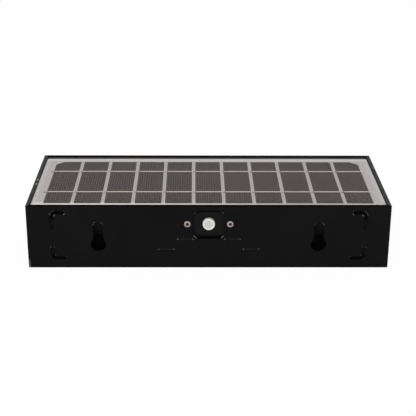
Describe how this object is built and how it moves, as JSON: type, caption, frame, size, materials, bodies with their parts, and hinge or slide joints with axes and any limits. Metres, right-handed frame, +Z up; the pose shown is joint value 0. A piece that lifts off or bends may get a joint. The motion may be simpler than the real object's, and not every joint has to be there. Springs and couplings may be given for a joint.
{
  "type": "solar wall light",
  "caption": "Flat black box-shaped solar wall light with a cell panel on top, keyhole hangers and a push button in the back, and an opal light window below.",
  "frame": {"origin": "centre of the flat back face, which lies on the wall", "axes": "+X along the wall, +Y from the wall to the front of the light, +Z up"},
  "size_m": [0.24, 0.1, 0.0444],
  "materials": {
    "housing_black": "fine satin mould texture",
    "base_black": "fine satin mould texture",
    "cup_black": "smooth moulded",
    "foam_tape": "closed-cell foam",
    "backsheet_white": "satin film",
    "cell_silicon": "dark silicon with fine silver fingers",
    "ribbon_tin": "tinned copper",
    "clear_cover": "clear satin resin",
    "button_white": "soft matte",
    "seal_black": "smooth silicone",
    "switch_black": "moulded",
    "plunger_cream": "moulded",
    "board_green": "solder mask",
    "chip_black": "moulded",
    "socket_white": "moulded",
    "screw_steel": "zinc plated",
    "tray_white": "reflective white",
    "holder_black": "moulded",
    "battery_wrap": "shrink wrap",
    "contact_nickel": "nickel plated",
    "led_board_white": "white solder mask",
    "led_phosphor": "phosphor",
    "diffuser_opal": "opal",
    "lead_red": "insulation",
    "lead_black": "insulation"
  },
  "bodies": {
    "shell": {"housing": "housing_black", "keyhole_cup_left": "cup_black", "keyhole_cup_right": "cup_black", "panel_tape": "foam_tape", "panel_backsheet": "backsheet_white", "solar_cells": "cell_silicon", "cell_ribbons": "ribbon_tin", "panel_cover": "clear_cover", "panel_terminals": "ribbon_tin", "switch_body": "switch_black", "control_board": "board_green", "board_parts": "chip_black", "lead_sockets": "socket_white", "clamp_bar": "holder_black", "board_screws": "screw_steel", "base_cover": "base_black", "diffuser": "diffuser_opal", "diffuser_gasket": "seal_black", "base_gasket": "seal_black", "base_screws": "screw_steel", "light_tray": "tray_white", "tray_screws": "screw_steel", "led_board": "led_board_white", "led_chips": "led_phosphor", "led_board_screws": "screw_steel", "holder_tape": "foam_tape", "battery_holder": "holder_black", "battery_contacts": "contact_nickel", "battery_cell": "battery_wrap", "panel_lead_red": "lead_red", "panel_lead_black": "lead_black", "led_lead_red": "lead_red", "led_lead_black": "lead_black", "battery_lead_red": "lead_red", "battery_lead_black": "lead_black"},
    "button": {"button_cap": "button_white", "button_o_ring": "seal_black", "switch_plunger": "plunger_cream"}
  },
  "joints": [
    {"name": "button_press", "type": "slide", "parent": "shell", "child": "button", "axis": [0, 1, 0], "range_m": [0, 0.0008], "stiffness_N_per_m": 2000}
  ]
}
